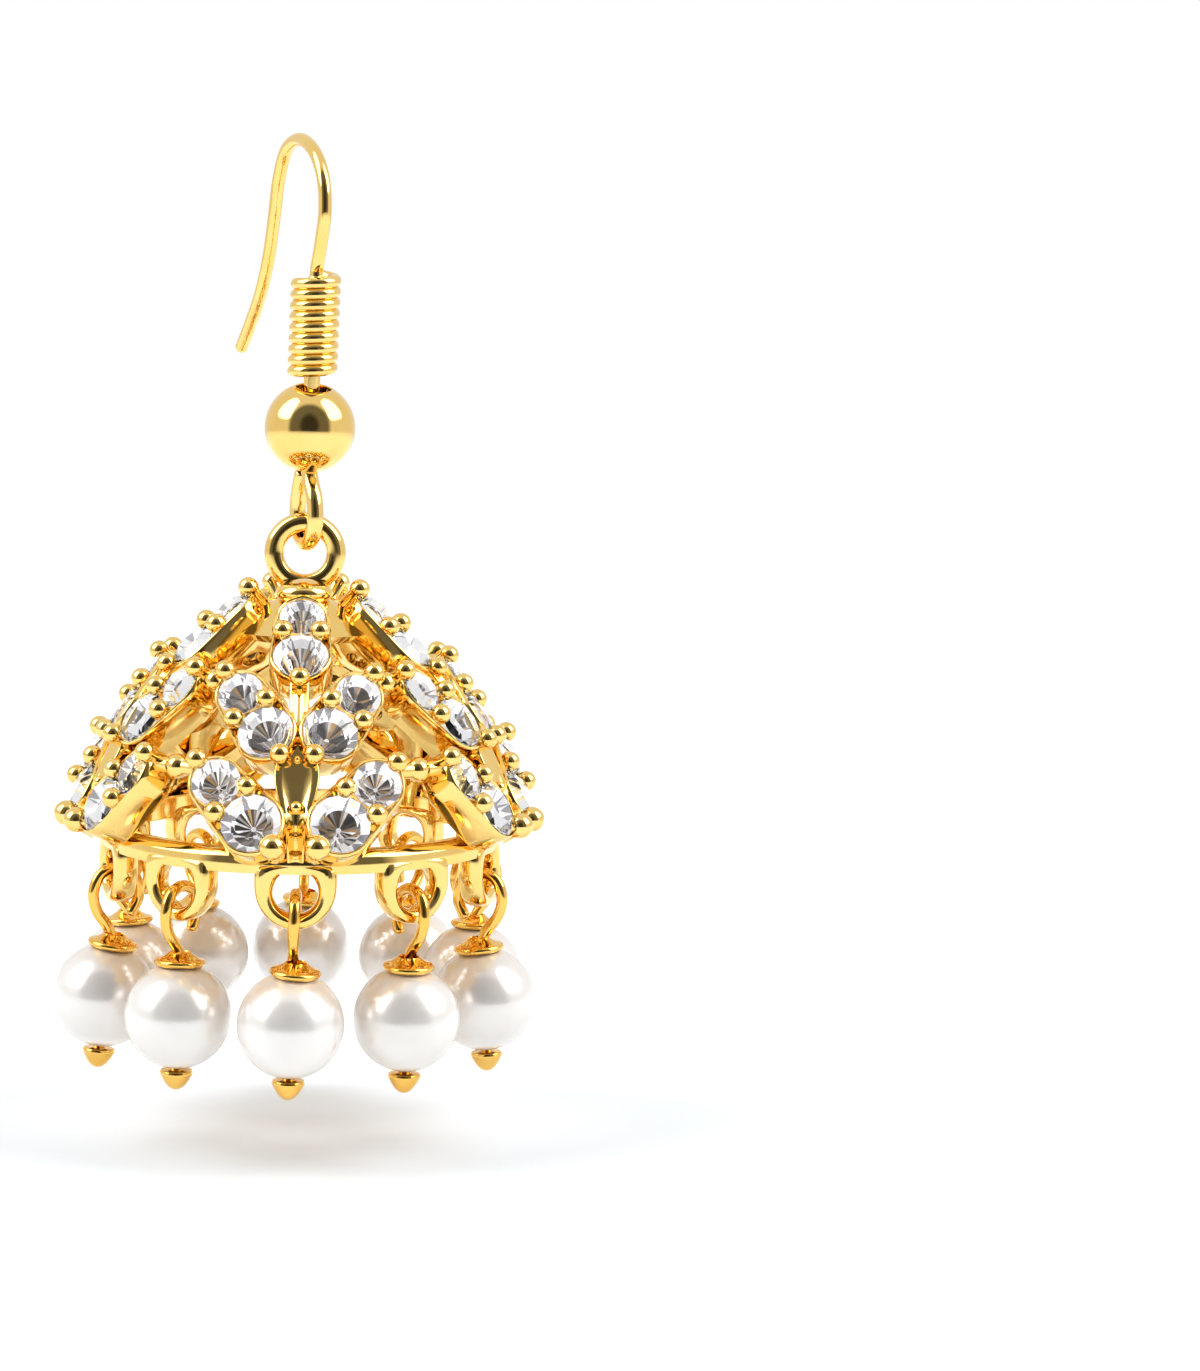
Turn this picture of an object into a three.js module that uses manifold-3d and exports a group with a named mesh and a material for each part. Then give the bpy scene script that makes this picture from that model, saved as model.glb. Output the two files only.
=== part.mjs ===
// A jhumka drop earring: a plain ear hook with a wound coil and a ball bead, and below it a
// pierced bell, cast in one piece and set with round stones, with ten pearl drops under its rim.
// Millimetres, +Z up. The origin is under the arch of the hook, where it hangs in the ear.

import * as THREE from 'three';
import { mergeVertices } from 'three/addons/utils/BufferGeometryUtils.js';
import Module from 'manifold-3d';

const wasm = await Module();
wasm.setup();

// Bell: heights are above the lower edge of the rim
const COLUMNS = 5;
const BELL_HEIGHT = 15;
const RIM_RADIUS = 11.6;
const RIM_HEIGHT = 1.35;
const RIM_WALL = 0.95;
const RIM_CHAMFER = 0.45;
const CROWN_RADIUS = 4.4;
const CROWN_WALL = 1;
const COLLAR_RADIUS = 1.65;
const COLLAR_HEIGHT = 1.6;
const COLLAR_SINK = 0.35;
const COLLAR_FORWARD = 0.9;
const RING_OUTER = 4.7;
const RING_HOLE = 2.45;
const RING_SINK = 0.5;

// Petals of the bell and what is set in them
const PETAL_LIP = 0.22;
const PETAL_TIP = 0.1;
const PETAL_DEPTH = 2;
const LARGE_STONE = 3.35;
const SMALL_STONE = 2.75;
const STONE_GAP = 0.05;
const STONE_TABLE = 0.66;
const STONE_CROWN = 0.5;
const STONE_SINK = 0.3;
const STONE_SIDES = 8;
const GRAIN = 1.1;
const FOOT_GRAIN = 1.35;
const GRAIN_RISE = 0.32;
const GRAIN_SPREAD = 0.34;
const SPINE_WIDTH = 1.15;
const SPINE_DEPTH = 1.5;
const SHOULDER_REACH = 0.65;
const TIE = 0.9;
const TIE_KNOB = 1.4;

// Loops cast under the rim
const LOOPS = 10;
const LOOP_WIDTH = 4.6;
const LOOP_DROP = 3.15;
const LOOP_HOLE = 2.5;
const LOOP_BAND = 0.85;
const LOOP_THICKNESS = 1.4;

// Pearl drops
const PEARL = 6;
const PIN_WIRE = 0.66;
const PIN_CLEARANCE = 0.14;
const EYE_WIDTH = 3.3;
const EYE_HEIGHT = 4.1;
const CAP = 2.9;
const CAP_HEIGHT = 0.5;
const CAP_RIM = 0.22;
const FINIAL = 1.85;
const FINIAL_HEIGHT = 1.15;
const SEAT_GAP = 0.12;

// Hook, coil and ball bead
const HOOK_WIRE = 0.76;
const SHANK_WIRE = 0.95;
const HOOK_REACH = 7.6;
const HOOK_RISE = 7.19;
const EYE_LOOP_WIDTH = 2.9;
const EYE_LOOP_HEIGHT = 4.1;
const BALL = 5.2;
const BALL_BORE = 2;
const BALL_TILT = 8;
const COIL_WIRE = 0.67;
const COIL_OUTER = 2.88;
const COIL_PITCH = 0.7;
const COIL_TURNS = 9;
const COIL_SEAT = 0.35;
const COIL_START = 150;
const HOOK_TILT = 4.5;
const HOOK_TURN = -67.7;
const LINK_GAP = 0.15;

// How finely round shapes are faceted
const LEAF_STEPS = 3;
const GRAIN_SIDES = 6;
const GRAIN_ROWS = 3;
const TIE_SIDES = 5;
const CROWN_SIDES = 20;
const COLLAR_SIDES = 12;
const COLLAR_ROWS = 6;
const RING_SIDES = 18;
const RING_SECTION_SIDES = 8;
const RIM_SIDES = 36;
const LOOP_SIDES = 8;
const LOOP_HOLE_SIDES = 10;
const PEARL_SIDES = 12;
const PEARL_ROWS = 5;
const CAP_SIDES = 10;
const PIN_SIDES = 5;
const EYE_STEPS = 12;
const FINIAL_SIDES = 10;
const WIRE_SIDES = 6;
const FOOT_STEPS = 20;
const EAR_STEPS = 26;
const COIL_SIDES = 5;
const COIL_STEPS = 8;
const BALL_SIDES = 14;
const BALL_ROWS = 7;

// Where the petals of one column stand, as shares of the rim radius and the bell height. turn is
// the angle from the column's middle, facing how far the face looks up, twist how far it looks
// past its own azimuth, swing how far its long axis leans outward. long and wide are shares of a
// full petal's pitch and stones, foot the share of a large grain at its lower end.
const PETALS = [
  { turn: 0, out: 0.468, up: 0.84, facing: 48, twist: 0, swing: 0, long: 0.95, wide: 0.93, foot: 0.8 },
  { turn: 15.5, out: 0.82, up: 0.58, facing: 35, twist: 1, swing: 40, long: 0.97, wide: 0.94, foot: 0.8 },
  { turn: 16.2, out: 1.063, up: 0.27, facing: 28, twist: -9, swing: 43, long: 1, wide: 1, foot: 1 },
];

// The spine behind a column, as shares of the rim radius, the bell height and the spine's width.
// shoulder is how far it widens from that width towards its shoulder between the lower petals.
const SPINE = [
  { out: 0.28, up: 0.91, wide: 1, shoulder: 0 },
  { out: 0.62, up: 0.77, wide: 1, shoulder: 0 },
  { out: 0.86, up: 0.53, wide: 1.1, shoulder: 0 },
  { out: 0.98, up: 0.37, wide: 1.1, shoulder: 1 },
  { out: 1.07, up: 0.2, wide: 1.2, shoulder: 0 },
  { out: 1.06, up: 0.04, wide: 1.1, shoulder: 0 },
];

// The hook's wire above the coil, as shares of its reach and its rise
const HOOK_CURVE = [
  { across: 0, up: 0 },
  { across: 0.07, up: 0.22 },
  { across: 0.125, up: 0.48 },
  { across: 0.06, up: 0.73 },
  { across: -0.14, up: 0.92 },
  { across: -0.46, up: 1 },
  { across: -0.74, up: 0.9 },
  { across: -0.885, up: 0.66 },
  { across: -0.955, up: 0.34 },
  { across: -1.04, up: 0.02 },
  { across: -1.19, up: -0.3 },
  { across: -1.41, up: -0.59 },
  { across: -1.59, up: -0.8 },
];
const HANG_ROW = 5;

// The loop at the foot of the shank, as shares of its width and its height
const FOOT_CURVE = [
  { across: -0.31, up: 0.95 },
  { across: -0.47, up: 0.62 },
  { across: -0.49, up: 0.36 },
  { across: -0.34, up: 0.1 },
  { across: 0, up: 0 },
  { across: 0.34, up: 0.1 },
  { across: 0.49, up: 0.36 },
  { across: 0.41, up: 0.65 },
  { across: 0.13, up: 0.92 },
  { across: 0, up: 1.15 },
];

// The eye of a head pin, as shares of its wire's width and height
const EYE_CURVE = [
  { across: 0, up: -0.1 },
  { across: 0.1, up: 0.08 },
  { across: 0.38, up: 0.32 },
  { across: 0.5, up: 0.6 },
  { across: 0.36, up: 0.9 },
  { across: 0, up: 1 },
  { across: -0.36, up: 0.9 },
  { across: -0.5, up: 0.6 },
  { across: -0.38, up: 0.32 },
];

// How far each drop leans, in degrees, from the front one round to the right
const DROP_LEANS = [
  { side: -1.5, inward: 0 },
  { side: -1.5, inward: 0 },
  { side: 0, inward: -3.5 },
  { side: 1, inward: 1 },
  { side: -1, inward: 2 },
  { side: 2, inward: 0 },
  { side: 1, inward: 2 },
  { side: -2, inward: 1 },
  { side: 0, inward: -6 },
  { side: -1.5, inward: 0 },
];

const rad = THREE.MathUtils.degToRad;

// Worked out from the sizes above
const ringRadius = (RING_OUTER + RING_HOLE) / 4;
const ringSection = (RING_OUTER - RING_HOLE) / 4;
const ringHeight = BELL_HEIGHT + RING_OUTER / 2 - RING_SINK;
const linkHeight = ringHeight + RING_HOLE / 2 - LINK_GAP - SHANK_WIRE / 2;
const loopPitchRadius = RIM_RADIUS - LOOP_THICKNESS / 2;
const loopHoleHeight = LOOP_BAND + LOOP_HOLE / 2 - LOOP_DROP;
const stonePitch = (LARGE_STONE + SMALL_STONE) / 2 + STONE_GAP;
const capTop = PEARL / 2 + SEAT_GAP + CAP_HEIGHT;
const eyeTop = capTop + EYE_HEIGHT - PIN_WIRE / 2;
const bandTop = loopHoleHeight - LOOP_HOLE / 2;
const ballHeight = EYE_LOOP_HEIGHT + BALL / 2;
const coilFoot = ballHeight + BALL / 2 + COIL_SEAT / 3;
const coilTop = coilFoot + COIL_TURNS * COIL_PITCH;
const lowerPetal = PETALS.at(-1);
const lowerSide = lowerPetal.out * RIM_RADIUS * Math.sin(rad(lowerPetal.turn));
const shoulderHalf = lowerSide - LARGE_STONE * SHOULDER_REACH;

// Geometry helpers

function bodyOf(geometry) {
  const bare = geometry.index ? geometry.toNonIndexed() : geometry.clone();
  bare.deleteAttribute('normal');
  bare.deleteAttribute('uv');
  const merged = mergeVertices(bare, 1e-4);
  const index = merged.index.array;
  const corners = [];
  for (let i = 0; i < index.length; i += 3) {
    const [a, b, c] = [index[i], index[i + 1], index[i + 2]];
    if (a !== b && b !== c && c !== a) corners.push(a, b, c);
  }
  const vertProperties = new Float32Array(merged.attributes.position.array);
  const triVerts = new Uint32Array(corners);
  return new wasm.Manifold(new wasm.Mesh({ numProp: 3, vertProperties, triVerts }));
}

function geometryOf(body) {
  const mesh = body.getMesh();
  const geometry = new THREE.BufferGeometry();
  const positions = new THREE.BufferAttribute(new Float32Array(mesh.vertProperties), 3);
  geometry.setAttribute('position', positions);
  geometry.setIndex(new THREE.BufferAttribute(new Uint32Array(mesh.triVerts), 1));
  geometry.computeVertexNormals();
  return geometry;
}

function joined(bodies) {
  return bodies.reduce((whole, body) => whole.add(body));
}

function circle(radius, sides) {
  const points = [];
  for (let i = 0; i < sides; i += 1) {
    const angle = (2 * Math.PI * i) / sides;
    points.push(new THREE.Vector2(radius * Math.cos(angle), radius * Math.sin(angle)));
  }
  return new THREE.Shape(points);
}

function wire(curve, diameter, steps, sides) {
  return new THREE.ExtrudeGeometry(circle(diameter / 2, sides), { steps, extrudePath: curve });
}

function turned(profile, sides) {
  const points = profile.map(([radius, height]) => new THREE.Vector2(radius, height));
  return new THREE.LatheGeometry(points, sides).rotateX(Math.PI / 2);
}

function planeCurve(rows, width, height, lift) {
  const points = rows.map((row) => new THREE.Vector3(row.across * width, 0, lift + row.up * height));
  return new THREE.CatmullRomCurve3(points, false, 'centripetal');
}

// Bell

function petalFrame(row, side, column) {
  const spot = rad(360 / COLUMNS) * column + rad(row.turn) * side;
  const look = spot + rad(row.twist) * side;
  const facing = rad(row.facing);
  const normal = new THREE.Vector3(
    Math.sin(look) * Math.cos(facing),
    -Math.cos(look) * Math.cos(facing),
    Math.sin(facing),
  );
  const right = new THREE.Vector3(Math.cos(look), Math.sin(look), 0);
  const slope = new THREE.Vector3().crossVectors(normal, right);
  const swing = rad(row.swing) * side;
  const along = slope.clone().multiplyScalar(Math.cos(swing)).addScaledVector(right, Math.sin(swing));
  const across = new THREE.Vector3().crossVectors(along, normal);
  const radius = row.out * RIM_RADIUS;
  const place = new THREE.Matrix4().makeBasis(across, along, normal);
  place.setPosition(radius * Math.sin(spot), -radius * Math.cos(spot), row.up * BELL_HEIGHT);
  return place;
}

function petalPlaces() {
  const places = [];
  for (let column = 0; column < COLUMNS; column += 1) {
    for (const row of PETALS) {
      const sides = row.turn === 0 ? [1] : [-1, 1];
      for (const side of sides) places.push({ row, side, column, frame: petalFrame(row, side, column) });
    }
  }
  return places;
}

// The round ends of a petal lie about its two stones: side is -1 at its foot and 1 at its tip
function petalEnd(row, side) {
  const stone = (side < 0 ? LARGE_STONE : SMALL_STONE) * row.wide;
  const middle = (side * stonePitch * row.long) / 2;
  const radius = stone / 2 + PETAL_LIP;
  return { stone, middle, radius, tip: middle + side * (radius + PETAL_TIP) };
}

function petalOutline(row) {
  const foot = petalEnd(row, -1);
  const head = petalEnd(row, 1);
  const lean = Math.asin((foot.radius - head.radius) / (head.middle - foot.middle));
  const right = [new THREE.Vector2(0, foot.tip)];
  for (const [end, from, to] of [[foot, -Math.PI / 3, lean], [head, lean, Math.PI / 3]]) {
    for (let i = 0; i < LEAF_STEPS; i += 1) {
      const angle = from + ((to - from) * i) / (LEAF_STEPS - 1);
      const along = end.middle + end.radius * Math.sin(angle);
      right.push(new THREE.Vector2(end.radius * Math.cos(angle), along));
    }
  }
  right.push(new THREE.Vector2(0, head.tip));
  const left = right.slice(1, -1).reverse().map((point) => new THREE.Vector2(-point.x, point.y));
  return new THREE.Shape([...right, ...left]);
}

function petalBody(row) {
  const cup = new THREE.ExtrudeGeometry(petalOutline(row), { depth: PETAL_DEPTH, bevelEnabled: false });
  return bodyOf(cup.translate(0, 0, -PETAL_DEPTH));
}

function stoneBody(end) {
  const girdle = end.stone / 2;
  const profile = [
    [0, -STONE_SINK],
    [girdle, -STONE_SINK],
    [girdle, 0],
    [girdle * STONE_TABLE, STONE_CROWN],
    [0, STONE_CROWN],
  ];
  return bodyOf(turned(profile, STONE_SIDES).translate(0, end.middle, 0));
}

function grainBody(diameter, across, along) {
  const ball = new THREE.SphereGeometry(diameter / 2, GRAIN_SIDES, GRAIN_ROWS).rotateX(Math.PI / 2);
  return bodyOf(ball.translate(across, along, GRAIN_RISE));
}

function petalWithStones(place) {
  const { row, column, frame } = place;
  const foot = petalEnd(row, -1);
  const head = petalEnd(row, 1);
  const spread = LARGE_STONE * row.wide * GRAIN_SPREAD;
  const waist = (foot.stone - head.stone) / 4;
  const parts = [
    petalBody(row),
    stoneBody(foot),
    stoneBody(head),
    grainBody(FOOT_GRAIN * row.foot, 0, foot.tip),
    grainBody(GRAIN, spread, waist),
    grainBody(GRAIN, -spread, waist),
  ];
  // The collar takes the place of the front petal's upper grain
  const underCollar = row.turn === 0 && column === 0;
  if (!underCollar) parts.push(grainBody(GRAIN, 0, head.tip));
  return joined(parts).transform(frame.elements);
}

function spineBody(column) {
  const positions = [];
  for (const row of SPINE) {
    const narrow = (SPINE_WIDTH * row.wide) / 2;
    const half = narrow + (shoulderHalf - narrow) * row.shoulder;
    const outer = row.out * RIM_RADIUS;
    const height = row.up * BELL_HEIGHT;
    positions.push(-half, -outer, height, half, -outer, height);
    positions.push(half, SPINE_DEPTH - outer, height, -half, SPINE_DEPTH - outer, height);
  }
  const corners = [0, 1, 2, 0, 2, 3];
  const last = 4 * (SPINE.length - 1);
  corners.push(last, last + 2, last + 1, last, last + 3, last + 2);
  for (let ring = 0; ring < last; ring += 4) {
    for (let side = 0; side < 4; side += 1) {
      const a = ring + side;
      const b = ring + ((side + 1) % 4);
      corners.push(a, b + 4, b, a, a + 4, b + 4);
    }
  }
  const spine = new THREE.BufferGeometry();
  spine.setAttribute('position', new THREE.Float32BufferAttribute(positions, 3));
  spine.setIndex(corners);
  return bodyOf(spine.rotateZ(rad(360 / COLUMNS) * column));
}

function tieBetween(start, end) {
  const half = start.distanceTo(end) / 2;
  const knob = TIE_KNOB / 2;
  const profile = [
    [0, -half],
    [TIE / 2, -half],
    [TIE / 2, -knob],
    [knob, 0],
    [TIE / 2, knob],
    [TIE / 2, half],
    [0, half],
  ];
  const turn = new THREE.Quaternion();
  turn.setFromUnitVectors(new THREE.Vector3(0, 0, 1), end.clone().sub(start).normalize());
  const middle = start.clone().add(end).divideScalar(2);
  return bodyOf(turned(profile, TIE_SIDES).applyQuaternion(turn).translate(middle.x, middle.y, middle.z));
}

function tieBodies() {
  const ties = [];
  for (const row of PETALS.filter((petal) => petal.turn > 0)) {
    const tip = new THREE.Vector3(0, petalEnd(row, 1).tip - TIE / 2, -TIE / 2);
    for (let column = 0; column < COLUMNS; column += 1) {
      const start = tip.clone().applyMatrix4(petalFrame(row, 1, column));
      const end = tip.clone().applyMatrix4(petalFrame(row, -1, column + 1));
      ties.push(tieBetween(start, end));
    }
  }
  return ties;
}

function crownBody() {
  const top = BELL_HEIGHT - COLLAR_HEIGHT / 4;
  const edge = top - CROWN_RADIUS / 2;
  const profile = [
    [0, top],
    [CROWN_RADIUS / 2, top - CROWN_RADIUS / 8],
    [CROWN_RADIUS, edge],
    [CROWN_RADIUS - CROWN_WALL, edge - CROWN_WALL / 2],
    [CROWN_RADIUS / 2, top - CROWN_RADIUS / 8 - CROWN_WALL],
    [0, top - CROWN_WALL],
  ];
  return bodyOf(turned(profile.reverse(), CROWN_SIDES));
}

function collarBody() {
  const ball = new THREE.SphereGeometry(COLLAR_RADIUS, COLLAR_SIDES, COLLAR_ROWS).rotateX(Math.PI / 2);
  ball.scale(1, 1, COLLAR_HEIGHT / 2 / COLLAR_RADIUS);
  return bodyOf(ball.translate(0, -COLLAR_FORWARD, BELL_HEIGHT - COLLAR_SINK));
}

function ringBody() {
  const ring = new THREE.TorusGeometry(ringRadius, ringSection, RING_SECTION_SIDES, RING_SIDES);
  return bodyOf(ring.rotateX(Math.PI / 2).translate(0, 0, ringHeight));
}

function rimBody() {
  const inner = RIM_RADIUS - RIM_WALL;
  const profile = [
    [inner, 0],
    [RIM_RADIUS, 0],
    [RIM_RADIUS, RIM_HEIGHT - RIM_CHAMFER],
    [RIM_RADIUS - RIM_CHAMFER, RIM_HEIGHT],
    [inner, RIM_HEIGHT],
    [inner, 0],
  ];
  return bodyOf(turned(profile, RIM_SIDES));
}

function loopBody(index) {
  const low = LOOP_DROP - RIM_HEIGHT / 2;
  const points = [new THREE.Vector2(LOOP_WIDTH / 2, RIM_HEIGHT / 2)];
  for (let i = 0; i <= LOOP_SIDES; i += 1) {
    const angle = (-Math.PI * i) / LOOP_SIDES;
    const x = (LOOP_WIDTH / 2) * Math.cos(angle);
    points.push(new THREE.Vector2(x, low * Math.sin(angle) - RIM_HEIGHT / 2));
  }
  points.push(new THREE.Vector2(-LOOP_WIDTH / 2, RIM_HEIGHT / 2));
  const outline = new THREE.Shape(points.reverse());
  outline.holes.push(new THREE.Path(circle(LOOP_HOLE / 2, LOOP_HOLE_SIDES).getPoints().map(
    (point) => new THREE.Vector2(point.x, point.y + loopHoleHeight),
  )));
  const loop = new THREE.ExtrudeGeometry(outline, { depth: LOOP_THICKNESS, bevelEnabled: false });
  loop.rotateX(Math.PI / 2).translate(0, -loopPitchRadius + LOOP_THICKNESS / 2, 0);
  return bodyOf(loop.rotateZ(rad(360 / LOOPS) * index));
}

function bellGeometry() {
  const parts = [rimBody(), crownBody(), collarBody(), ringBody(), ...tieBodies()];
  for (let column = 0; column < COLUMNS; column += 1) parts.push(spineBody(column));
  for (const place of petalPlaces()) parts.push(petalWithStones(place));
  for (let index = 0; index < LOOPS; index += 1) parts.push(loopBody(index));
  return geometryOf(joined(parts));
}

// Pearl drops, each with the middle of its pearl at the origin

function pearlGeometry() {
  const radius = PEARL / 2;
  const bore = PIN_WIRE / 2 + PIN_CLEARANCE;
  const start = Math.asin(bore / radius);
  const profile = [];
  for (let i = 0; i <= PEARL_ROWS; i += 1) {
    const angle = start + ((Math.PI - 2 * start) * i) / PEARL_ROWS;
    profile.push([radius * Math.sin(angle), -radius * Math.cos(angle)]);
  }
  profile.push(profile[0]);
  return turned(profile, PEARL_SIDES);
}

function capGeometry() {
  const bore = PIN_WIRE / 2 + PIN_CLEARANCE;
  const seat = PEARL / 2 + SEAT_GAP;
  const edge = CAP / 2;
  const under = Math.sqrt(seat * seat - edge * edge);
  const profile = [
    [bore, seat],
    [edge, under],
    [edge, under + CAP_RIM],
    [(edge + bore) / 2, seat + CAP_RIM],
    [bore + CAP_RIM, capTop],
    [bore, capTop],
    [bore, seat],
  ];
  return turned(profile, CAP_SIDES);
}

function pinGeometry() {
  const foot = -PEARL / 2 - SEAT_GAP;
  const wireTop = eyeTop - capTop;
  const eye = planeCurve(EYE_CURVE, EYE_WIDTH - PIN_WIRE, wireTop, capTop);
  const shank = new THREE.LineCurve3(
    new THREE.Vector3(0, 0, foot - FINIAL_HEIGHT / 4),
    eye.points[0].clone().add(new THREE.Vector3(0, 0, PIN_WIRE / 4)),
  );
  const finial = [
    [0, foot - FINIAL_HEIGHT],
    [FINIAL * 0.34, foot - FINIAL_HEIGHT * 0.8],
    [FINIAL / 2, foot - FINIAL_HEIGHT * 0.3],
    [FINIAL / 2, foot],
    [0, foot],
  ];
  return geometryOf(joined([
    bodyOf(wire(shank, PIN_WIRE, 1, PIN_SIDES)),
    bodyOf(wire(eye, PIN_WIRE, EYE_STEPS, PIN_SIDES)),
    bodyOf(turned(finial, FINIAL_SIDES)),
  ]));
}

// Hook, coil and ball bead, in the plane of the hook, with the foot of its loop at the origin

class Helix extends THREE.Curve {
  getPoint(share) {
    const angle = rad(COIL_START) + 2 * Math.PI * COIL_TURNS * share;
    const radius = (COIL_OUTER - COIL_WIRE) / 2;
    const height = coilFoot + COIL_WIRE / 2 + share * (COIL_TURNS - 1) * COIL_PITCH;
    return new THREE.Vector3(radius * Math.cos(angle), radius * Math.sin(angle), height);
  }
}

function hookGeometry() {
  const foot = planeCurve(FOOT_CURVE, EYE_LOOP_WIDTH, EYE_LOOP_HEIGHT, 0);
  const ear = planeCurve(HOOK_CURVE, HOOK_REACH, HOOK_RISE, coilTop);
  const above = new THREE.Vector3(0, 0, SHANK_WIRE / 2);
  const shank = new THREE.LineCurve3(foot.points.at(-1), ear.points[0].clone().sub(above));
  const splice = new THREE.LineCurve3(shank.v2.clone().sub(above), ear.points[0].clone().add(above));
  return geometryOf(joined([
    bodyOf(wire(foot, SHANK_WIRE, FOOT_STEPS, WIRE_SIDES)),
    bodyOf(wire(shank, SHANK_WIRE, 1, WIRE_SIDES)),
    bodyOf(wire(splice, HOOK_WIRE, 1, WIRE_SIDES)),
    bodyOf(wire(ear, HOOK_WIRE, EAR_STEPS, WIRE_SIDES)),
  ]));
}

function coilGeometry() {
  return wire(new Helix(), COIL_WIRE, COIL_TURNS * COIL_STEPS, COIL_SIDES);
}

function ballGeometry() {
  const radius = BALL / 2;
  const start = Math.asin(BALL_BORE / BALL);
  const profile = [];
  for (let i = 0; i <= BALL_ROWS; i += 1) {
    const angle = start + ((Math.PI - 2 * start) * i) / BALL_ROWS;
    profile.push([radius * Math.sin(angle), -radius * Math.cos(angle)]);
  }
  profile.push(profile[0]);
  return turned(profile, BALL_SIDES);
}

// Assembly

const materials = {
  gold: new THREE.MeshStandardMaterial({ color: '#e8b84a', roughness: 0.16, metalness: 1 }),
  deepGold: new THREE.MeshStandardMaterial({ color: '#d69a35', roughness: 0.18, metalness: 1 }),
  pearl: new THREE.MeshStandardMaterial({ color: '#f4ede4', roughness: 0.25, metalness: 0 }),
};

function piece(name, geometry, material) {
  const mesh = new THREE.Mesh(geometry, material);
  mesh.name = name;
  return mesh;
}

function hookGroup() {
  const bead = piece('hook_bead', ballGeometry(), materials.gold);
  bead.position.z = ballHeight;
  bead.rotation.y = rad(BALL_TILT);
  const tilted = new THREE.Group();
  tilted.rotation.y = rad(HOOK_TILT);
  tilted.add(
    piece('ear_hook', hookGeometry(), materials.gold),
    piece('wire_coil', coilGeometry(), materials.gold),
    bead,
  );
  const turnedGroup = new THREE.Group();
  turnedGroup.position.z = linkHeight;
  turnedGroup.rotation.z = rad(HOOK_TURN);
  turnedGroup.add(tilted);
  return turnedGroup;
}

function dropGroup(lean, index) {
  const hung = new THREE.Group();
  hung.position.z = -eyeTop + PIN_WIRE / 2;
  hung.add(
    piece(`pearl_${index + 1}`, pearlGeometry(), materials.pearl),
    piece(`bead_cap_${index + 1}`, capGeometry(), materials.deepGold),
    piece(`head_pin_${index + 1}`, pinGeometry(), materials.deepGold),
  );
  const swung = new THREE.Group();
  swung.rotation.set(rad(lean.side), rad(lean.inward), 0);
  swung.position.set(loopPitchRadius, 0, bandTop + PIN_WIRE + SEAT_GAP);
  swung.add(hung);
  const around = new THREE.Group();
  around.rotation.z = rad(360 / LOOPS) * index - Math.PI / 2;
  around.add(swung);
  return around;
}

function hangPoint() {
  const row = HOOK_CURVE[HANG_ROW];
  const point = new THREE.Vector3(row.across * HOOK_REACH, 0, coilTop + row.up * HOOK_RISE - HOOK_WIRE / 2);
  point.applyAxisAngle(new THREE.Vector3(0, 1, 0), rad(HOOK_TILT));
  point.applyAxisAngle(new THREE.Vector3(0, 0, 1), rad(HOOK_TURN));
  return point.setZ(point.z + linkHeight);
}

const group = new THREE.Group();
group.position.copy(hangPoint()).negate();
group.add(hookGroup());
group.add(piece('jhumka_bell', bellGeometry(), materials.gold));
DROP_LEANS.forEach((lean, index) => group.add(dropGroup(lean, index)));

export default group;
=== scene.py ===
"""A jhumka drop earring, dressed round its fixed frame: a pierced bell of cast gold with set
stones, ten pearl drops under its rim, and a plain ear hook with a wound coil and a ball bead.
Sizes are in millimetres, in the frame of the bell: heights are above the lower edge of its rim."""

import math

import bpy
import numpy as np
from mathutils import Matrix, Vector


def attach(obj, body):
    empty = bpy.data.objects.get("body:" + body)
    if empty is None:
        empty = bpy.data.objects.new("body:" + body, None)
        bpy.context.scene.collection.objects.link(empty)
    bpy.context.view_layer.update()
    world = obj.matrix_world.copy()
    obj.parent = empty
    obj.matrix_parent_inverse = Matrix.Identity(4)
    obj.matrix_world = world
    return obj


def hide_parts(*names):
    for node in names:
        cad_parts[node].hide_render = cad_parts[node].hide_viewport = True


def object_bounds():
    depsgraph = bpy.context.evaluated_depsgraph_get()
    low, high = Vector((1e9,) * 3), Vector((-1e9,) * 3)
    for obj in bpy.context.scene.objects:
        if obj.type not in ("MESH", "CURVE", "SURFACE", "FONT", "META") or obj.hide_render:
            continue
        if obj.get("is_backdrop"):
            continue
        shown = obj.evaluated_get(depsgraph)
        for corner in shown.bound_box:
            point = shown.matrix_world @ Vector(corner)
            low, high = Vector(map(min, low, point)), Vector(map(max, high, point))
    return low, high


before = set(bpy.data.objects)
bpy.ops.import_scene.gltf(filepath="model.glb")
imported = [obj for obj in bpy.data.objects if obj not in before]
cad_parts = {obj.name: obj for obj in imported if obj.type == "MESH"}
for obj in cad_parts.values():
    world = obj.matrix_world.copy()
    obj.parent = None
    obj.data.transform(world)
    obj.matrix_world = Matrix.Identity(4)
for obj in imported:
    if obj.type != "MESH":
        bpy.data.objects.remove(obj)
cad_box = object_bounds()

MM = 0.001

# Bell
COLUMNS = 5
BELL_HEIGHT = 15
RIM_RADIUS = 11.6
RIM_HEIGHT = 1.35
RIM_WALL = 0.95
RIM_CHAMFER = 0.45
CROWN_RADIUS = 4.4
CROWN_WALL = 1
COLLAR_RADIUS = 1.65
COLLAR_HEIGHT = 1.6
COLLAR_SINK = 0.35
COLLAR_FORWARD = 0.9
RING_OUTER = 4.7
RING_HOLE = 2.45
RING_SINK = 0.5
RING_BEVEL = 0.62
RING_ROUND = 0.95

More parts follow.
